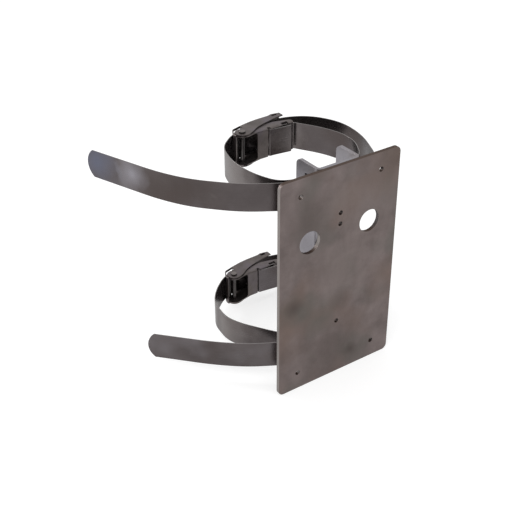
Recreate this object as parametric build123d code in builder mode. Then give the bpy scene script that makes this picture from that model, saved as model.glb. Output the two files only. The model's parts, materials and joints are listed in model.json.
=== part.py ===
from build123d import *
from math import atan2, cos, degrees, radians, sin, sqrt, tan
import os

# Pole mount bracket: a plate for a detector, a channel that sits against the pole, and two
# steel bands with lever buckles. Millimetres. The origin is the middle of the corner-hole
# pattern on the plate's front face. X runs along the plate, Y towards the pole, Z up.

# Mounting plate
plate_width = 118.0
plate_height = 200.0
plate_thickness = 3.5
plate_corner_radius = 5.0
plate_edge_round = 0.5
corner_hole_diameter = 4.3
corner_hole_pitch_x = 79.5
corner_hole_pitch_z = 168.0
corner_hole_from_bottom = 16.5
cable_hole_diameter = 20.0
cable_hole_pitch = 60.0
cable_hole_from_bottom = 141.0
middle_hole_diameter = 4.0
middle_holes_from_bottom = (54.0, 148.0, 158.0)

# Pole saddle, a channel bent from sheet
saddle_width = 42.4
saddle_depth = 27.5
saddle_sheet = 3.0
saddle_inner_bend = 2.0
arm_corner_radius = 5.0
band_slot_from_plate = 9.7
band_slot_width = 6.8
band_slot_round = 1.5
band_slot_headroom = 2.4

# Steel bands
band_width = 24.4
band_sheet = 0.7
band_seat_clearance = 0.05
band_guide_clearance = 0.25
lane_gap = 1.3
lane_from_plate = 13.4
tight_bend_radius = 5.0
tail_tip_rise = 6.0
leaf_length = 19.6
fold_gap = 0.1
upper_leaf_splay = 8.5
lower_leaf_splay = 8.0
upper_band_from_bottom = 177.0
lower_band_from_bottom = 25.5
upper_seat = (0.0, 103.5)
lower_seat = (0.7, 122.2)

# Buckle frame. A buckle's own X runs along it, its own Y is the distance out from its seat
# face, and its own Z is the height above the band's middle.
frame_sheet = 1.0
frame_side_clearance = 0.25
frame_bend_radius = 1.4
cheek_height = 9.0
cheek_end_height = 4.6
cheek_taper_start_x = 14.0
cheek_end_x = 29.5
cheek_end_round = 2.0
window_edge_x = -7.5
window_corner_round = 2.5
slot_x = 4.5
slot_width = 2.4
slot_relief_diameter = 3.0
anchor_bar_width = 11.5
ear_radius = 6.9
ear_root_x = -2.0
notch_start_x = 17.8
notch_length = 6.6
notch_height = 3.4

# Buckle pins
pivot_x = -20.0
pivot_rise = 4.7
pivot_pin_diameter = 4.0
pivot_running_clearance = 0.05
pin_head_diameter = 5.8
pin_head_thickness = 1.1
pin_head_round = 0.4
pin_seat_clearance = 0.02
guide_pin_dx = -2.4
guide_pin_dy = 4.0
guide_pin_diameter = 2.8

# Lever
lever_sheet = 1.0
lever_side_clearance = 0.2
lever_bend_radius = 0.8
lever_tip = (28.2, 19.5)
lever_flare_top = (20.6, 21.0)
lever_flare_root = (16.8, 19.8)
lever_middle = (4.0, 19.4)
lever_shoulder = (-4.0, 18.6)
lever_crown = (-14.0, 16.5)
lever_nose_run = 6.2
lever_nose_round = 3.2
lever_hook_radius = 7.65
lever_hook_top_angle = 150.0
lever_hook_end_angle = 196.0
lever_lobe_radius = 6.3
lever_relief = (-16.0, 12.9)
lever_relief_diameter = 2.2
lever_bar_top_rise = 1.6
lever_slot_start_x = -8.5
lever_slot_side_clearance = 0.4
lever_tip_depth = 5.7
tip_hole_length = 5.0
tip_hole_height = 2.7
tip_hole_middle = (21.8, 18.05)

# Worked-out places
plate_bottom = -(corner_hole_from_bottom + corner_hole_pitch_z / 2)
plate_middle = plate_bottom + plate_height / 2
saddle_back = plate_thickness + saddle_depth
arm_x = saddle_width / 2
inner_lane = plate_thickness + lane_from_plate
outer_lane = inner_lane - band_sheet - lane_gap
frame_half_inner = band_width / 2 + frame_side_clearance
frame_half_outer = frame_half_inner + frame_sheet
lever_half_inner = frame_half_outer + lever_side_clearance
lever_half_outer = lever_half_inner + lever_sheet
guide_x = pivot_x + guide_pin_dx
guide_rise = pivot_rise + guide_pin_dy
bar_start_x = slot_x + slot_width / 2
bar_middle_y = frame_sheet / 2
fold_radius = frame_sheet / 2 + fold_gap + band_sheet / 2
fold_run_rise = bar_middle_y + fold_radius
through_run_rise = guide_rise + guide_pin_diameter / 2 + band_guide_clearance + band_sheet / 2

os.makedirs("parts", exist_ok=True)


def turn_between(before, here, after):
    """Return the angle in degrees by which a route turns at a point."""
    arriving = atan2(here[1] - before[1], here[0] - before[0])
    leaving = atan2(after[1] - here[1], after[0] - here[0])
    turn = abs(degrees(leaving - arriving)) % 360
    return min(turn, 360 - turn)


def easy_radii(points, sharp_corners):
    """Return, for each corner of a route, nearly the largest radius that fits there.

    A corner listed in sharp_corners is kept to the radius of a tight bend.
    """
    radii = []
    for before, here, after in zip(points, points[1:], points[2:]):
        first_run = sqrt((here[0] - before[0]) ** 2 + (here[1] - before[1]) ** 2)
        second_run = sqrt((after[0] - here[0]) ** 2 + (after[1] - here[1]) ** 2)
        turn = turn_between(before, here, after)
        largest = 0.48 * min(first_run, second_run) / tan(radians(turn / 2))
        radii.append(min(largest, tight_bend_radius) if here in sharp_corners else largest)
    return radii


def finish(piece, name):
    """Label a finished piece and write its file."""
    piece.label = name
    export_step(piece, f"parts/{name}.step")


# Mounting plate
with BuildPart() as mounting_plate:
    with BuildSketch(Plane.XZ.offset(-plate_thickness)):
        with Locations((0, plate_middle)):
            RectangleRounded(plate_width, plate_height, plate_corner_radius)
        with GridLocations(corner_hole_pitch_x, corner_hole_pitch_z, 2, 2):
            Circle(corner_hole_diameter / 2, mode=Mode.SUBTRACT)
        with Locations((0, plate_bottom + cable_hole_from_bottom)):
            with GridLocations(cable_hole_pitch, 0, 2, 1):
                Circle(cable_hole_diameter / 2, mode=Mode.SUBTRACT)
        for rise in middle_holes_from_bottom:
            with Locations((0, plate_bottom + rise)):
                Circle(middle_hole_diameter / 2, mode=Mode.SUBTRACT)
    extrude(amount=plate_thickness)
    front_face = mounting_plate.faces().sort_by(Axis.Y)[0]
    fillet(front_face.outer_wire().edges(), plate_edge_round)
finish(mounting_plate.part, "mounting_plate")

# Pole saddle
web_middle_y = plate_thickness + saddle_sheet / 2
arm_middle_x = arm_x - saddle_sheet / 2
with BuildPart() as pole_saddle:
    with BuildSketch(Plane.XY.offset(plate_bottom)):
        with BuildLine():
            FilletPolyline(
                (-arm_middle_x, saddle_back),
                (-arm_middle_x, web_middle_y),
                (arm_middle_x, web_middle_y),
                (arm_middle_x, saddle_back),
                radius=saddle_inner_bend + saddle_sheet / 2,
            )
        trace(line_width=saddle_sheet)
    extrude(amount=plate_height)
    arm_tips = pole_saddle.faces().filter_by(Axis.Y).group_by(Axis.Y)[-1]
    fillet(arm_tips.edges().filter_by(Axis.X), arm_corner_radius)
    band_slot_middle_y = plate_thickness + band_slot_from_plate + band_slot_width / 2
    for height in (upper_band_from_bottom, lower_band_from_bottom):
        slot_bottom = plate_bottom + height - band_width / 2 - band_seat_clearance
        slot_height = band_width + band_seat_clearance + band_slot_headroom
        with BuildSketch(Plane.YZ.offset(-arm_x)):
            with Locations((band_slot_middle_y, slot_bottom + slot_height / 2)):
                RectangleRounded(band_slot_width, slot_height, band_slot_round)
        extrude(amount=saddle_width, mode=Mode.SUBTRACT)
    with BuildSketch(Plane.XZ.offset(-plate_thickness - saddle_sheet)):
        for rise in middle_holes_from_bottom:
            with Locations((0, plate_bottom + rise)):
                Circle(middle_hole_diameter / 2)
    extrude(amount=saddle_sheet, mode=Mode.SUBTRACT)
finish(pole_saddle.part, "pole_saddle")


def upper_route(seat):
    """Corners of the upper band's route, seen from above, from its anchor to its free end."""
    seat_x, seat_y = seat
    guide = (seat_x + guide_x, seat_y + through_run_rise)
    return [
        (seat_x + bar_start_x, seat_y + fold_run_rise),
        (seat_x + cheek_end_x - 0.5, seat_y + fold_run_rise),
        (43.5, seat_y - 22.0),
        (50.0, seat_y - 42.0),
        (49.0, inner_lane + 27.5),
        (38.0, inner_lane + 7.5),
        (arm_x + 4.0, inner_lane),
        (-arm_x - 4.0, inner_lane),
        (-43.5, inner_lane + 6.5),
        (-52.3, inner_lane + 29.0),
        (-54.0, seat_y - 32.0),
        (-46.0, seat_y - 5.0),
        (guide[0] - 6.5, guide[1] - 2.0),
        (guide[0] + 4.5, guide[1] + 1.6),
        (24.0, seat_y + 16.0),
        (49.0, seat_y + 4.5),
        (64.0, seat_y - 22.0),
        (61.5, outer_lane + 35.0),
        (47.5, outer_lane + 2.5),
        (36.0, outer_lane - 3.5),
        (arm_x + 1.0, outer_lane),
        (-arm_x - 4.0, outer_lane),
        (-41.5, outer_lane + 3.8),
        (-69.5, outer_lane + 21.2),
        (-97.0, outer_lane + 50.5),
        (-111.2, outer_lane + 75.7),
        (-137.4, outer_lane + 146.0),
    ]


def lower_route(seat):
    """Corners of the lower band's route, seen from above, from its anchor to its free end."""
    seat_x, seat_y = seat
    guide = (seat_x + guide_x, seat_y + through_run_rise)
    return [
        (seat_x + bar_start_x, seat_y + fold_run_rise),
        (seat_x + cheek_end_x - 0.5, seat_y + fold_run_rise),
        (47.5, seat_y - 22.0),
        (57.5, seat_y - 50.0),
        (53.5, inner_lane + 30.0),
        (37.0, inner_lane + 7.0),
        (arm_x + 4.0, inner_lane),
        (-arm_x - 2.0, inner_lane),
        (-37.5, inner_lane + 17.3),
        (-54.7, inner_lane + 44.5),
        (-60.4, seat_y - 45.5),
        (-57.0, seat_y - 20.0),
        (-45.0, seat_y - 4.5),
        (guide[0] - 8.5, guide[1] - 3.2),
        (guide[0] + 3.0, guide[1] + 2.0),
        (28.0, seat_y + 16.4),
        (52.0, seat_y + 6.0),
        (67.0, seat_y - 30.0),
        (62.0, outer_lane + 42.0),
        (46.0, outer_lane + 3.0),
        (35.0, outer_lane - 2.5),
        (arm_x + 1.0, outer_lane),
        (-arm_x - 4.0, outer_lane),
        (-41.0, outer_lane + 4.0),
        (-67.5, outer_lane + 19.2),
        (-90.0, outer_lane + 39.0),
        (-128.5, outer_lane + 81.3),
    ]


def make_band(route, seat, leaf_splay, from_bottom):
    """Make one band: a folded leaf round the anchor bar, the loop, the outer turn and tail."""
    band_bottom = plate_bottom + from_bottom - band_width / 2
    fold_middle = (seat[0] + bar_start_x, seat[1] + bar_middle_y)
    sharp_corners = [route[1], (-arm_x - 2.0, inner_lane)]
    with BuildPart() as band:
        with BuildSketch(Plane.XY.offset(band_bottom)):
            with BuildLine():
                fold = CenterArc(fold_middle, fold_radius, 90, 180 - leaf_splay)
                splay = radians(leaf_splay)
                Line(fold @ 1, fold @ 1 + Vector(cos(splay), -sin(splay)) * leaf_length)
                FilletPolyline(*route, radius=easy_radii(route, sharp_corners))
            trace(line_width=band_sheet)
        extrude(amount=band_width)
        tip = route[-1]
        last_corner = route[-2]
        run = sqrt((tip[0] - last_corner[0]) ** 2 + (tip[1] - last_corner[1]) ** 2)
        along = ((tip[0] - last_corner[0]) / run, (tip[1] - last_corner[1]) / run, 0)
        across = (along[1], -along[0], 0)
        middle_height = band_bottom + band_width / 2
        tip_radius = (band_width ** 2 / 4 + tail_tip_rise ** 2) / (2 * tail_tip_rise)
        tip_plane = Plane(origin=(tip[0], tip[1], middle_height), x_dir=along, z_dir=across)
        with BuildSketch(tip_plane):
            with Locations((-tail_tip_rise / 2 + 1.0, 0)):
                Rectangle(tail_tip_rise + 2.0, band_width + 2.0)
            with Locations((-tip_radius, 0)):
                Circle(tip_radius, mode=Mode.SUBTRACT)
        extrude(amount=band_sheet, both=True, mode=Mode.SUBTRACT)
    return band.part


# Buckle frame: a channel with two round ears, a window, a slot and an anchor bar
anchor_end_x = bar_start_x + anchor_bar_width
web_side = frame_half_outer - frame_sheet / 2
with BuildPart() as buckle_frame:
    with BuildSketch(Plane.YZ.offset(window_edge_x - window_corner_round)):
        with BuildLine():
            FilletPolyline(
                (2 * frame_bend_radius, -web_side),
                (bar_middle_y, -web_side),
                (bar_middle_y, web_side),
                (2 * frame_bend_radius, web_side),
                radius=frame_bend_radius - frame_sheet / 2,
            )
        trace(line_width=frame_sheet)
    extrude(amount=cheek_end_x - window_edge_x + window_corner_round)
    with BuildSketch(Plane.XZ.offset(-2 * frame_bend_radius)):
        with Locations((window_edge_x - 2 * window_corner_round, 0)):
            RectangleRounded(4 * window_corner_round, 2 * frame_half_inner, window_corner_round)
    extrude(amount=3 * frame_bend_radius, mode=Mode.SUBTRACT)
    for cheek_bottom in (-frame_half_outer, frame_half_inner):
        with BuildSketch(Plane.XY.offset(cheek_bottom)):
            with BuildLine():
                Line((ear_root_x, frame_bend_radius), (ear_root_x, cheek_height))
                CenterArc((pivot_x, pivot_rise), ear_radius, 0, 360)
            make_hull()
            with BuildLine():
                Polyline(
                    (window_edge_x, frame_bend_radius),
                    (cheek_end_x, frame_bend_radius),
                    (cheek_end_x, cheek_end_height),
                    (cheek_taper_start_x, cheek_height),
                    (window_edge_x, cheek_height),
                    close=True,
                )
            make_face()
        extrude(amount=frame_sheet)
    with BuildSketch(Plane.XY.offset(-frame_half_outer)):
        with Locations((slot_x, 0)):
            Rectangle(slot_width, 2 * frame_bend_radius)
        with Locations((notch_start_x + notch_length / 2, 0)):
            Rectangle(notch_length, 2 * notch_height)
        with Locations((pivot_x, pivot_rise)):
            Circle(pivot_pin_diameter / 2 + pin_seat_clearance)
        with Locations((guide_x, guide_rise)):
            Circle(guide_pin_diameter / 2 + pin_seat_clearance)
    extrude(amount=2 * frame_half_outer, mode=Mode.SUBTRACT)
    for cheek_bottom in (-frame_half_outer, frame_half_inner):
        with BuildSketch(Plane.XY.offset(cheek_bottom)):
            with Locations((slot_x, frame_sheet)):
                Circle(slot_relief_diameter / 2)
        extrude(amount=frame_sheet, mode=Mode.SUBTRACT)
    with BuildSketch(Plane.XY.offset(-frame_half_inner)):
        with Locations(((anchor_end_x + cheek_end_x) / 2, 0)):
            Rectangle(cheek_end_x - anchor_end_x, 4 * frame_bend_radius)
    extrude(amount=2 * frame_half_inner, mode=Mode.SUBTRACT)
    end_corners = buckle_frame.edges().filter_by(Axis.Z).group_by(Axis.X)[-1].group_by(Axis.Y)[-1]
    fillet(end_corners, cheek_end_round)

# Pivot pin, headed at both ends
head_face = lever_half_outer + lever_side_clearance
with BuildPart() as pivot_pin:
    with BuildSketch(Plane.XY.offset(-head_face)):
        with Locations((pivot_x, pivot_rise)):
            Circle(pivot_pin_diameter / 2)
    extrude(amount=2 * head_face)
    for head_bottom in (-head_face - pin_head_thickness, head_face):
        with BuildSketch(Plane.XY.offset(head_bottom)):
            with Locations((pivot_x, pivot_rise)):
                Circle(pin_head_diameter / 2)
        extrude(amount=pin_head_thickness)
    pin_ends = pivot_pin.faces().filter_by(Axis.Z).sort_by(Axis.Z)
    fillet(pin_ends[0].edges() + pin_ends[-1].edges(), pin_head_round)

# Guide pin that the band slides over, its ends flush with the ears
with BuildPart() as guide_pin:
    with BuildSketch(Plane.XY.offset(-frame_half_outer)):
        with Locations((guide_x, guide_rise)):
            Circle(guide_pin_diameter / 2)
    extrude(amount=2 * frame_half_outer)


def pivot_ray(radius, angle):
    """Return the point at a radius and an angle in degrees round the pivot."""
    return (
        pivot_x + radius * cos(radians(angle)),
        pivot_rise + radius * sin(radians(angle)),
    )


# Lever: a channel whose web hooks round the pivot and is slotted for the band
hook_top = pivot_ray(lever_hook_radius, lever_hook_top_angle)
lever_nose = (
    hook_top[0] + lever_nose_run * sin(radians(lever_hook_top_angle)),
    hook_top[1] - lever_nose_run * cos(radians(lever_hook_top_angle)),
)
hook_sweep = lever_hook_end_angle - lever_hook_top_angle
lever_back = (lever_tip, lever_flare_top, lever_flare_root, lever_middle, lever_shoulder, lever_crown)
lever_back_radii = (2.0, 3.0, 30.0, 30.0)
slot_half = band_width / 2 + lever_slot_side_clearance
bar_top_y = pivot_rise + lever_bar_top_rise
with BuildPart() as lever:
    with BuildSketch(Plane.XY.offset(-lever_half_outer)):
        with BuildLine():
            FilletPolyline(
                *lever_back,
                lever_nose,
                hook_top,
                radius=(*lever_back_radii, 20.0, lever_nose_round),
            )
            CenterArc((pivot_x, pivot_rise), lever_hook_radius, lever_hook_top_angle, hook_sweep)
        trace(line_width=lever_sheet)
    extrude(amount=2 * lever_half_outer)
    with BuildSketch(Plane.XY.offset(-slot_half)):
        with BuildLine():
            Polyline(
                (lever_slot_start_x, lever_middle[1] + lever_sheet),
                (lever_slot_start_x, pivot_rise + ear_radius),
                (pivot_x, bar_top_y),
                (pivot_x - 2 * lever_hook_radius, bar_top_y),
                (pivot_x - 2 * lever_hook_radius, lever_middle[1] + lever_sheet),
                close=True,
            )
        make_face()
    extrude(amount=2 * slot_half, mode=Mode.SUBTRACT)
    for cheek_bottom in (-lever_half_outer, lever_half_inner):
        with BuildSketch(Plane.XY.offset(cheek_bottom)):
            with BuildLine():
                FilletPolyline(*lever_back, radius=lever_back_radii)
                lobe = ThreePointArc(
                    pivot_ray(lever_lobe_radius, 75),
                    pivot_ray(lever_lobe_radius, 180),
                    pivot_ray(lever_lobe_radius, 270),
                )
                Line(lever_crown, lobe @ 0)
                lower_edge = Spline(
                    lobe @ 1,
                    (-6.0, 4.6),
                    (10.0, 10.3),
                    (22.0, 13.0),
                    (lever_tip[0], lever_tip[1] - lever_tip_depth),
                    tangents=[(1, 0.05), (1, 0.15)],
                )
                Line(lower_edge @ 1, lever_tip)
            make_face()
            with Locations(lever_relief):
                Circle(lever_relief_diameter / 2, mode=Mode.SUBTRACT)
            with Locations((pivot_x, pivot_rise)):
                Circle(pivot_pin_diameter / 2 + pivot_running_clearance, mode=Mode.SUBTRACT)
            with Locations(tip_hole_middle):
                Rectangle(tip_hole_length, tip_hole_height, mode=Mode.SUBTRACT)
        extrude(amount=lever_sheet)
    # The bend's rounding runs on from the flare's two arcs along the whole smooth back.
    flare_arcs = lever.edges().filter_by(GeomType.CIRCLE).group_by(Axis.Y)[-1]
    fillet(flare_arcs, lever_bend_radius)

# Both levels: a band and a buckle each
levels = {
    "upper": (upper_route(upper_seat), upper_seat, upper_leaf_splay, upper_band_from_bottom),
    "lower": (lower_route(lower_seat), lower_seat, lower_leaf_splay, lower_band_from_bottom),
}
for level, (route, seat, leaf_splay, from_bottom) in levels.items():
    finish(make_band(route, seat, leaf_splay, from_bottom), f"{level}_band")
    place = Location((seat[0], seat[1], plate_bottom + from_bottom))
    finish(buckle_frame.part.moved(place), f"{level}_buckle_frame")
    finish(lever.part.moved(place), f"{level}_lever")
    finish(pivot_pin.part.moved(place), f"{level}_pivot_pin")
    finish(guide_pin.part.moved(place), f"{level}_guide_pin")
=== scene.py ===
# %% [markdown]
# # A steel pole bracket with two band buckles
# The bracket is a flat plate with a folded channel behind it, and two steel bands with lever
# buckles. Every solid already has its true shape and place, so this lesson is about what turns
# plain solids into metal: rounded sheet edges, marks, and five finishes of one material,
# stainless steel. First the fixed frame of solids is loaded, and its outer box is kept.

# %% Load the frame
import json
from math import radians

import bpy
from mathutils import Matrix, Vector

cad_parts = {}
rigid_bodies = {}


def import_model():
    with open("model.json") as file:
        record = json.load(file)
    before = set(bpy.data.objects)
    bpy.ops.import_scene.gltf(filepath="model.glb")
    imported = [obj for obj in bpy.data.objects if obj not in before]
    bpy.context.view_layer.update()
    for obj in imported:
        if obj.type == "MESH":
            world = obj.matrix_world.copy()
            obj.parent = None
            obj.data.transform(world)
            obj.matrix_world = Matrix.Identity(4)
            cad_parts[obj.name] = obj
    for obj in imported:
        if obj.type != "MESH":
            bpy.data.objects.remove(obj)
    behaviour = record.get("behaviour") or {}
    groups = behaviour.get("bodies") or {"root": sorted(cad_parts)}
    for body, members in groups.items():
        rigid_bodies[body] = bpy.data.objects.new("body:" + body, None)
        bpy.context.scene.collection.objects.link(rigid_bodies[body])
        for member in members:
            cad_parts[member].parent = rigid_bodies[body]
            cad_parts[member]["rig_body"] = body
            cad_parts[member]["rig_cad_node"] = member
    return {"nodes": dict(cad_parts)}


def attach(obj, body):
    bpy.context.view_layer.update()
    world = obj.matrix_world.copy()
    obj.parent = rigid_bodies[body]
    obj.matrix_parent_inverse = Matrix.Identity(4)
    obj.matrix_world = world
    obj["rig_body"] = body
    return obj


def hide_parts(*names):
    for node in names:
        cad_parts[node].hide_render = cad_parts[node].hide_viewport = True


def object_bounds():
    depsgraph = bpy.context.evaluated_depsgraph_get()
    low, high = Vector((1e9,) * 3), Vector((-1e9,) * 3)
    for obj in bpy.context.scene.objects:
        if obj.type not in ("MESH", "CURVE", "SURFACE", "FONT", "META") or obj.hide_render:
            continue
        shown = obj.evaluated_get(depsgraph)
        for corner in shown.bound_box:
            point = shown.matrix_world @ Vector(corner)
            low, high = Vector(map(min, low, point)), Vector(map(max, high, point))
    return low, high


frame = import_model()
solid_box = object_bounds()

MM = 0.001
print("solids:", sorted(frame["nodes"]))

# %% [markdown]
# ## Camera
# A photograph is matched best by giving the camera the place that it had. Three facts settle it:
# where the lens stood, the point that it looked at, and how far the camera was tipped about
# its own axis. The lens is a mild telephoto, so the plate's edges run almost parallel.

# %% Place the camera
camera_place = Vector((-439.4, -524.3, 445.1)) * MM
camera_aim = Vector((-82.0, 0.0, 48.1)) * MM
camera_tip = radians(-0.53)
lens_mm = 70.4

camera_data = bpy.data.cameras.new("camera")
camera_data.sensor_fit = "HORIZONTAL"
camera_data.sensor_width = 36.0
camera_data.lens = lens_mm
camera_data.clip_start = 0.01
camera_data.clip_end = 50.0
camera = bpy.data.objects.new("camera", camera_data)
bpy.context.scene.collection.objects.link(camera)
looking = (camera_aim - camera_place).to_track_quat("-Z", "Y").to_matrix().to_4x4()
camera.matrix_world = Matrix.Translation(camera_place) @ looking @ Matrix.Rotation(camera_tip, 4, "Z")
bpy.context.scene.camera = camera
print("camera distance in metres:", round((camera_aim - camera_place).length, 3))

# %% [markdown]
# ## Small helpers for node graphs
# A material is a graph of nodes. Writing each link by hand is long and hides the idea, so a
# helper adds a node, sets its values and plugs other nodes' outputs into it in one line. The
# other helpers are built on it, each for one thing that the finishes do often.


# %% Node helper
def add_node(graph, kind, settings=None, **inputs):
    """Add a node, set its properties and fill its inputs with values or other sockets.

    An input is given by its name, with _ for a space, or as i0, i1 and so on by its number.
    """
    made = graph.nodes.new(kind)
    for name, value in (settings or {}).items():
        setattr(made, name, value)
    for name, value in inputs.items():
        key = int(name[1:]) if name[0] == "i" and name[1:].isdigit() else name.replace("_", " ")
        socket = made.inputs[key]
        if isinstance(value, bpy.types.NodeSocket):
            graph.links.new(value, socket)
        else:
            socket.default_value = value
    return made


# %% Sums and colours
def calculate(graph, operation, first, second=0.0):
    """Do one sum on two values. Return the resulting socket."""
    return add_node(graph, "ShaderNodeMath", {"operation": operation}, i0=first, i1=second).outputs[0]


def spread(graph, value, low_in, high_in, low_out, high_out):
    """Stretch a range of values on to another range. Return the resulting socket."""
    made = add_node(graph, "ShaderNodeMapRange", {"clamp": True}, i0=value, i1=low_in, i2=high_in,
                    i3=low_out, i4=high_out)
    return made.outputs[0]


def blend_colours(graph, factor, first, second, way="MIX"):
    """Mix two colours by a factor. Return the resulting socket."""
    settings = {"data_type": "RGBA", "blend_type": way}
    return add_node(graph, "ShaderNodeMix", settings, i0=factor, i6=first, i7=second).outputs[2]


def shade_by(graph, tone, pattern, low, high, share):
    """Darken and lighten a tone by a share, as a pattern runs from low to high."""
    strength = spread(graph, pattern, low, high, 1.0 - share, 1.0 + share)
    return blend_colours(graph, 1.0, tone, strength, "MULTIPLY")


def from_screen(red, green, blue):
    """Turn a colour seen on a screen, 0 to 255, into the linear values that shaders use."""
    linear = []
    for value in (red, green, blue):
        share = value / 255
        linear.append(share / 12.92 if share <= 0.04045 else ((share + 0.055) / 1.055) ** 2.4)
    return (*linear, 1.0)


# %% Patterns
def noise(graph, place, scale, detail, roughness):
    """Add a noise pattern of a given scale. Return its value socket."""
    return add_node(graph, "ShaderNodeTexNoise", None, Vector=place, Scale=scale, Detail=detail,
                    Roughness=roughness).outputs[0]


def stretched(graph, place, scale):
    """Scale a pattern's coordinates differently along X, Y and Z."""
    return add_node(graph, "ShaderNodeMapping", None, Vector=place, Scale=scale).outputs[0]


# %% [markdown]
# ## Steel finishes
# Bare stainless steel has hardly any colour of its own: it shows what is round it, blurred by
# its surface. In a plain white room that leaves a tone, a roughness and a grain to choose. The
# sheet of the plate and the channel is dull, with cloudy patches from rolling and pickling, some
# brownish and some cool. The bands are cold-rolled strip, smoother, with fine lines along their
# length. One function makes them all. It is built from four steps, each a helper of its own:
# clouds and stains, round marks, edges, and relief.
#
# Clouds and stains come first: one broad noise blends two tones, and a shifted noise for each
# stain lays patches of another tone over them.

# %% Clouds and stains
cloud_limits = (0.36, 0.64)
stain_limits = (0.5, 0.7)
stain_cover = 0.8
stain_shift = 0.37


def add_clouds(graph, place, dark, light, cloud_scale, stains):
    """Blend two tones in clouds, then lay patches of each stain over them. Return the tone."""
    clouds = noise(graph, place, cloud_scale, 5.0, 0.6)
    cloud_share = spread(graph, clouds, *cloud_limits, 0.0, 1.0)
    tone = blend_colours(graph, cloud_share, dark, light)
    for number, (stain, stain_scale) in enumerate(stains, start=1):
        aside = (stain_shift * number, 0.0, 0.0)
        shifted = add_node(graph, "ShaderNodeMapping", None, Vector=place, Location=aside)
        patches = noise(graph, shifted.outputs[0], stain_scale, 2.0, 0.5)
        patch_share = spread(graph, patches, *stain_limits, 0.0, stain_cover)
        tone = blend_colours(graph, patch_share, tone, stain)
    return tone


# %% [markdown]
# ## Round marks
# A mark is strongest near its centre and fades out at its radius. A perfect disc looks printed
# on, so the distance to the centre is first stretched and shrunk by a noise, which makes the
# rim ragged.

# %% Round marks
mark_core = 0.1
mark_cover = 0.6


def add_marks(graph, tone, place, smudges, marks):
    """Lay round marks over a tone, each a centre, a radius and a tone. Return the tone."""
    for centre, radius, mark_tone in marks:
        away = add_node(graph, "ShaderNodeVectorMath", {"operation": "DISTANCE"}, i0=place, i1=centre)
        raggedness = spread(graph, smudges, 0.3, 0.7, 0.8, 1.25)
        ragged = calculate(graph, "MULTIPLY", away.outputs["Value"], raggedness)
        share = spread(graph, ragged, radius * mark_core, radius, mark_cover, 0.0)
        tone = blend_colours(graph, share, tone, mark_tone)
    return tone


# %% [markdown]
# ## Painted light on cut edges
# Where sheet, strip or rod was cut, its edge gets another tone than its face, which is painted
# light and shade: lighter on the bands' edges and on the pins' ends, and on the plate darker and
# brownish above and below and lighter at the sides. Painting each edge would need a map. The
# face's own direction picks them out instead, because no broad face of these pieces looks along
# the same axis as its cut edges.

# %% Painted light on cut edges
edge_limits = (0.75, 0.95)


def add_painted_edge_light(graph, tone, painted_light_by_facing):
    """Give the faces that look along an axis, 0 to 2 for X to Z, a tone of painted light and shade.
    Return the tone.
    """
    normal = add_node(graph, "ShaderNodeNewGeometry").outputs["Normal"]
    along = add_node(graph, "ShaderNodeSeparateXYZ", None, i0=normal)
    for axis, facing_light in painted_light_by_facing:
        facing = calculate(graph, "ABSOLUTE", along.outputs[axis])
        share = spread(graph, facing, *edge_limits, 0.0, 1.0)
        tone = blend_colours(graph, share, tone, facing_light)
    return tone


# %% [markdown]
# ## Relief
# The grain is too fine to model, so bump bends the light as if it were there. Two patterns make
# it: the lines of the grain and a finer pitting. Sheet is also never quite flat, and slow waves
# under the grain keep its shine from being even.

# %% Relief
pit_scale = 1400.0
pit_share = 0.35
wave_scale = (28.0, 28.0, 7.0)


def add_relief(graph, place, lines, depth, waves):
    """Bend the surface by its grain and, where waves is over 0, by slow waves in the sheet.

    depth and waves are heights in metres. Return the normal's socket.
    """
    height = blend_colours(graph, pit_share, lines, noise(graph, place, pit_scale, 3.0, 0.6))
    grain = add_node(graph, "ShaderNodeBump", None, Strength=1.0, Distance=depth, Height=height)
    if waves > 0.0:
        swell = noise(graph, stretched(graph, place, wave_scale), 1.0, 1.0, 0.4)
        slow = add_node(graph, "ShaderNodeBump", None, Strength=1.0, Distance=waves, Height=swell)
        graph.links.new(slow.outputs[0], grain.inputs["Normal"])
    return grain.outputs[0]


# %% [markdown]
# ## One steel for all
# The steps now come together on one metal shader. Its metal share is a little under one, so that
# some light still reaches the eye from inside the buckles, where there is little to mirror.

# %% Steel material
line_limits = (0.3, 0.7)
smudge_finer = 2.6
speck_scale = 2600.0
speck_limits = (0.35, 0.68)
metal_share = 0.86
glancing_tint = (0.68, 0.68, 0.68, 1.0)


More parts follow.
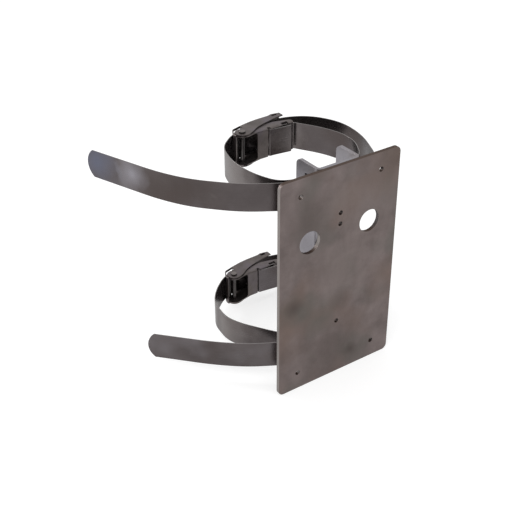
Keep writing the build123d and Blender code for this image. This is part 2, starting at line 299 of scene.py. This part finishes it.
def steel(name, dark, light, cloud_scale, grain, grain_share, rough, bump, stains=(),
          painted_light_by_facing=(), marks=(), waves=0.0, speck_share=0.0):
    """Make a steel finish.

    dark and light are the two tones of its clouds, grain the scale of its lines along X, Y
    and Z, grain_share how much they shade the tone, rough the lowest and highest roughness,
    and bump the depth of the grain in metres. stains are pairs of a tone and a pattern scale,
    painted_light_by_facing pairs of an axis and a tone, and marks as add_marks takes them. waves is the
    height in metres of slow waves, and speck_share how much fine specks shade the tone.
    """
    made = bpy.data.materials.new(name)
    made.use_nodes = True
    graph = made.node_tree
    graph.nodes.clear()
    place = add_node(graph, "ShaderNodeTexCoord").outputs["Object"]
    lines = noise(graph, stretched(graph, place, grain), 1.0, 4.0, 0.65)
    smudges = noise(graph, place, cloud_scale * smudge_finer, 3.0, 0.5)
    tone = add_clouds(graph, place, dark, light, cloud_scale, stains)
    tone = shade_by(graph, tone, lines, *line_limits, grain_share)
    if speck_share > 0.0:
        specks = noise(graph, place, speck_scale, 2.0, 0.6)
        tone = shade_by(graph, tone, specks, *speck_limits, speck_share)
    tone = add_marks(graph, tone, place, smudges, marks)
    tone = add_painted_edge_light(graph, tone, painted_light_by_facing)
    roughness = spread(graph, lines, *line_limits, *rough)
    smudge_share = spread(graph, smudges, 0.4, 0.65, 0.94, 1.08)
    roughness = calculate(graph, "MULTIPLY", roughness, smudge_share)
    shader = add_node(graph, "ShaderNodeBsdfPrincipled", None, Metallic=metal_share, Base_Color=tone,
                      Roughness=roughness, Specular_Tint=glancing_tint,
                      Normal=add_relief(graph, place, lines, bump, waves))
    add_node(graph, "ShaderNodeOutputMaterial", None, Surface=shader.outputs[0])
    return made


# %% [markdown]
# ## Marks and painted light on the steel
# Three kinds of mark are laid on. The plate's blotches are partly marks on the sheet and partly
# painted light and shade: the large ones paint the lighter and darker stretches that the sheet
# would mirror, darker towards the bottom. The web of the channel has small heat tints where it is
# spot-welded to the plate, and their places are guessed, because they lie on the hidden side. The
# marks on the bands are painted reflections: smooth strip mirrors a room in light and dark
# stretches, and a plain white room has none to show, so those stretches are painted on as tones.

# %% Marks
# Tones of the marks. The lighter one paints light on the plate and the bands. The two darker ones
# paint shade and also serve for small smudges on the plate. The brown one paints shade on the plate
# and is also the welds' heat tint. The last three are painted reflections on the bands.
painted_light_patch = from_screen(122, 112, 109)
dull_and_painted_shade = from_screen(92, 83, 80)
smudge_and_painted_shade = from_screen(72, 64, 61)
heat_tint_and_painted_shade = from_screen(100, 85, 77)
painted_bright_reflection = from_screen(160, 158, 166)
painted_pale_reflection = from_screen(146, 140, 138)
painted_blue_reflection = from_screen(98, 104, 124)


def mark(across, depth, height, radius, tone):
    """Describe a mark by its place and radius in millimetres, and its tone."""
    return (Vector((across, depth, height)) * MM, radius * MM, tone)


# The plate's large marks paint light and shade, darker towards the bottom. Its small ones are smudges
# on the sheet.
plate_marks = (
    mark(2, 0, 6, 40, painted_light_patch),
    mark(-4, 0, -76, 40, dull_and_painted_shade),
    mark(36, 0, 60, 48, painted_light_patch),
    mark(58, 0, 94, 46, heat_tint_and_painted_shade),
    mark(-30, 0, 58, 30, dull_and_painted_shade),
    mark(-4, 0, 70, 22, painted_light_patch),
    mark(3, 0, -26, 14, dull_and_painted_shade),
    mark(-45, 0, -16, 12, smudge_and_painted_shade),
    mark(17, 0, -83, 9, smudge_and_painted_shade),
)
web_face = 6.5
weld_radius = 3.6
weld_heights = (-84, -36, 0, 30, 66, 90)
weld_marks = tuple(mark(0, web_face, height, weld_radius, heat_tint_and_painted_shade) for height in weld_heights)
# Painted reflections on the bands: bright, pale, dark and blue stretches that smooth strip would
# mirror from a room.
painted_band_reflections = (
    mark(-134, 151, 80, 26, painted_blue_reflection),
    mark(-121, 116, 79, 18, painted_bright_reflection),
    mark(-102, 70, 78, 46, smudge_and_painted_shade),
    mark(-50, 76, 75, 38, painted_pale_reflection),
    mark(-52, 82, -75, 35, painted_pale_reflection),
    mark(19, 111, 75, 24, painted_pale_reflection),
    mark(8, 117, 76, 20, painted_light_patch),
)
print("marks:", len(plate_marks) + len(weld_marks) + len(painted_band_reflections))

# %% [markdown]
# ## The five finishes
# Each material slot gets its own steel. The plate and the channel are rough sheet with large
# clouds and upright lines. The bands are the smoothest of the sheets, and their pattern is
# squeezed along Z, which leaves long streaks round the loop. The buckles are small stampings, so
# their clouds are small too and their grain has no direction. The pins are rod, darker than the
# sheets round them.

# %% Plate and channel
finishes = {}
finishes["plate"] = steel(
    "plate_sheet_steel",
    dark=from_screen(105, 95, 93),
    light=from_screen(124, 113, 111),
    cloud_scale=38.0,
    grain=(900.0, 900.0, 60.0),
    grain_share=0.025,
    rough=(0.42, 0.52),
    bump=0.000010,
    stains=((from_screen(113, 97, 90), 17.0), (from_screen(99, 95, 91), 23.0)),
    # The plate's edges: painted shade, darker and brownish, at the top and bottom, and painted light
    # at the sides.
    painted_light_by_facing=((2, from_screen(82, 68, 61)), (0, from_screen(142, 136, 133))),
    marks=plate_marks,
    waves=0.0001,
    speck_share=0.055,
)
finishes["saddle"] = steel(
    "saddle_sheet_steel",
    dark=from_screen(136, 133, 138),
    light=from_screen(149, 146, 151),
    cloud_scale=36.0,
    grain=(700.0, 700.0, 45.0),
    grain_share=0.025,
    rough=(0.34, 0.44),
    bump=0.000009,
    stains=((from_screen(142, 134, 132), 21.0),),
    marks=weld_marks,
    waves=0.0002,
    speck_share=0.03,
)
print("sheet finishes:", sorted(finishes))

# %% Bands
finishes["band"] = steel(
    "band_strip_steel",
    dark=from_screen(82, 76, 76),
    light=from_screen(94, 88, 88),
    cloud_scale=26.0,
    grain=(16.0, 16.0, 2200.0),
    grain_share=0.035,
    rough=(0.20, 0.28),
    bump=0.000004,
    stains=((from_screen(104, 99, 101), 31.0), (from_screen(80, 72, 70), 19.0)),
    # Painted light on the bands' edges.
    painted_light_by_facing=((2, from_screen(146, 142, 141)),),
    marks=painted_band_reflections,
    waves=0.0006,
    speck_share=0.02,
)
print("band finish:", finishes["band"].name)

# %% Buckles and pins
finishes["buckle"] = steel(
    "buckle_sheet_steel",
    dark=from_screen(89, 83, 81),
    light=from_screen(106, 99, 97),
    cloud_scale=90.0,
    grain=(420.0, 420.0, 420.0),
    grain_share=0.05,
    rough=(0.28, 0.38),
    bump=0.000010,
    stains=((from_screen(106, 99, 104), 60.0),),
    speck_share=0.04,
)
finishes["pin"] = steel(
    "pin_rod_steel",
    dark=from_screen(66, 63, 62),
    light=from_screen(80, 77, 76),
    cloud_scale=160.0,
    grain=(120.0, 120.0, 2200.0),
    grain_share=0.05,
    rough=(0.18, 0.28),
    bump=0.000005,
    # Painted light on the pins' ends.
    painted_light_by_facing=((2, from_screen(116, 110, 108)),),
)
print("all finishes:", sorted(finishes))

# %% [markdown]
# ## Sheet edges
# A solid from a drawing has edges as sharp as glass. Real sheet is tumbled or deburred, and
# the thin line of light along each edge is what makes it read as metal of a certain thickness.
# A copy of each solid is welded together, its flat faces are joined, and a small bevel goes on
# every sharp edge. The copy then stands for the solid. The pins get no bevel: the pivot pins'
# heads are round already, and the guide pins end flush with the buckle's ears.

# %% Dress a solid
weld_distance = 0.001 * MM
flat_within = radians(0.2)
smooth_within = radians(32)
bevel_from = radians(40)
smooth_bevels_within = radians(50)


def weld_and_join(piece):
    """Merge a copy's doubled points, join its flat faces and smooth its round ones."""
    bpy.context.view_layer.objects.active = piece
    piece.select_set(True)
    bpy.ops.mesh.customdata_custom_splitnormals_clear()
    bpy.ops.object.mode_set(mode="EDIT")
    bpy.ops.mesh.select_all(action="SELECT")
    bpy.ops.mesh.remove_doubles(threshold=weld_distance)
    bpy.ops.mesh.dissolve_limited(angle_limit=flat_within)
    bpy.ops.object.mode_set(mode="OBJECT")
    bpy.ops.object.shade_smooth_by_angle(angle=smooth_within)


def round_edges(piece, width):
    """Bevel a piece's sharp edges and keep its broad faces flat in their shading."""
    bevel = piece.modifiers.new("edge_round", "BEVEL")
    bevel.width = width
    bevel.segments = 2
    bevel.limit_method = "ANGLE"
    bevel.angle_limit = bevel_from
    bevel.use_clamp_overlap = True
    bpy.ops.object.modifier_apply(modifier=bevel.name)
    bpy.ops.object.shade_smooth_by_angle(angle=smooth_bevels_within)
    weighted = piece.modifiers.new("flat_faces", "WEIGHTED_NORMAL")
    weighted.keep_sharp = True
    bpy.ops.object.modifier_apply(modifier=weighted.name)


def dressed(node, name, finish, edge_round):
    """Make a welded copy of a solid with rounded edges, in its finish, to stand for it."""
    solid = frame["nodes"][node]
    bpy.ops.object.select_all(action="DESELECT")
    piece = solid.copy()
    piece.data = solid.data.copy()
    piece.name = name
    piece.data.name = name
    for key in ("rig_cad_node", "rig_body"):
        del piece[key]
    piece.parent = None
    bpy.context.scene.collection.objects.link(piece)
    weld_and_join(piece)
    if edge_round > 0.0:
        round_edges(piece, edge_round)
    piece.data.materials.clear()
    piece.data.materials.append(finishes[finish])
    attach(piece, solid["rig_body"])
    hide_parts(node)
    print(name, len(piece.data.polygons), "faces")
    return piece


# %% [markdown]
# ## All twelve pieces
# Each piece is named for what it is, rides on its solid's body and takes its finish's slot, so
# that the levers turn with their joints. Thicker sheet gets a wider edge rounding.

# %% Dress every solid
solids_to_dress = [
    ("mounting_plate", "plate_sheet", "plate", 0.18 * MM),
    ("pole_saddle", "saddle_sheet", "saddle", 0.18 * MM),
]
for level in ("upper", "lower"):
    solids_to_dress += [
        (f"{level}_band", f"{level}_band_strip", "band", 0.12 * MM),
        (f"{level}_buckle_frame", f"{level}_frame_sheet", "buckle", 0.14 * MM),
        (f"{level}_lever", f"{level}_lever_sheet", "buckle", 0.14 * MM),
        (f"{level}_pivot_pin", f"{level}_pivot_rod", "pin", 0.0),
        (f"{level}_guide_pin", f"{level}_guide_rod", "pin", 0.0),
    ]
for node, name, finish, edge_round in solids_to_dress:
    dressed(node, name, finish, edge_round)
print("dressed:", len(solids_to_dress), "pieces")

# %% [markdown]
# ## Studio
# The part stands in a plain white room on a white paper floor. The room is white for rays from
# the camera, and also for rays that leave a shiny or clear surface, so that the metal shows the
# same white that a viewer sees round it. Matt surfaces get a softer level from the room.

# %% World
white = (1.0, 1.0, 1.0, 1.0)
room_level = 0.75


def sees_background(graph):
    """Tell whether a ray comes from the camera or from a shiny or clear surface."""
    ray = add_node(graph, "ShaderNodeLightPath").outputs
    seen = calculate(graph, "MAXIMUM", ray["Is Camera Ray"], ray["Is Glossy Ray"])
    return calculate(graph, "MAXIMUM", seen, ray["Is Transmission Ray"])


world = bpy.data.worlds.new("studio")
bpy.context.scene.world = world
world.use_nodes = True
room = world.node_tree
room.nodes.clear()
room_light = add_node(room, "ShaderNodeBackground", None, Color=white, Strength=room_level)
plain_white = add_node(room, "ShaderNodeBackground", None, Color=white, Strength=1.0)
room_mix = add_node(room, "ShaderNodeMixShader", None, i0=sees_background(room),
                    i1=room_light.outputs[0], i2=plain_white.outputs[0])
add_node(room, "ShaderNodeOutputWorld", None, Surface=room_mix.outputs[0])
print("room level for matt surfaces:", room_level)

# %% [markdown]
# ## Floor
# White paper only looks white where all light reaches it, and a lamp strong enough to make it so
# would wash out the metal. So the paper is grey in itself and glows for the rays that see the
# background. Its glow doesn't light matt surfaces, and the grey part still takes the part's
# shadow, which comes out soft and faint.

# %% Floor
paper_tone = (0.5, 0.5, 0.5, 1.0)
paper_glow = 0.66
floor_level = solid_box[0][2]
bpy.ops.object.select_all(action="DESELECT")
bpy.ops.mesh.primitive_plane_add(size=12.0, location=(0.0, 0.0, floor_level))
floor = bpy.context.object
floor.name = "floor"
paper = bpy.data.materials.new("floor_paper")
paper.use_nodes = True
sheet = paper.node_tree
sheet.nodes.clear()
matt = add_node(sheet, "ShaderNodeBsdfDiffuse", None, Color=paper_tone)
glow = add_node(sheet, "ShaderNodeEmission", None, Color=white, Strength=paper_glow)
glowing = add_node(sheet, "ShaderNodeAddShader", None, i0=matt.outputs[0], i1=glow.outputs[0])
paper_mix = add_node(sheet, "ShaderNodeMixShader", None, i0=sees_background(sheet),
                     i1=matt.outputs[0], i2=glowing.outputs[0])
add_node(sheet, "ShaderNodeOutputMaterial", None, Surface=paper_mix.outputs[0])
floor.data.materials.append(paper)
print("floor height in metres:", round(floor_level, 4))

# %% [markdown]
# ## Lamps
# A large soft lamp, above the camera and to its left, adds some light from one side to the even
# light of the room. A small one behind the part and to the left stands for a window. Only a few
# rims and edges that face it catch its light, such as the inside of the left cable hole.


# %% Lamps
def soft_lamp(name, place, aim, size, power):
    """Add a square soft lamp at a place, pointing at another."""
    data = bpy.data.lights.new(name, "AREA")
    data.shape = "SQUARE"
    data.size = size
    data.energy = power
    lamp = bpy.data.objects.new(name, data)
    bpy.context.scene.collection.objects.link(lamp)
    lamp.location = place
    lamp.rotation_euler = (Vector(aim) - Vector(place)).to_track_quat("-Z", "Y").to_euler()
    print("lamp:", name, power, "watts")


soft_lamp("key", place=(-0.9, -0.5, 1.3), aim=(0.0, 0.03, 0.0), size=0.7, power=5.0)
soft_lamp("window", place=(-0.58, 0.80, 0.52), aim=(-0.05, 0.0, 0.09), size=0.16, power=2.0)
bpy.context.scene.view_settings.view_transform = "Standard"
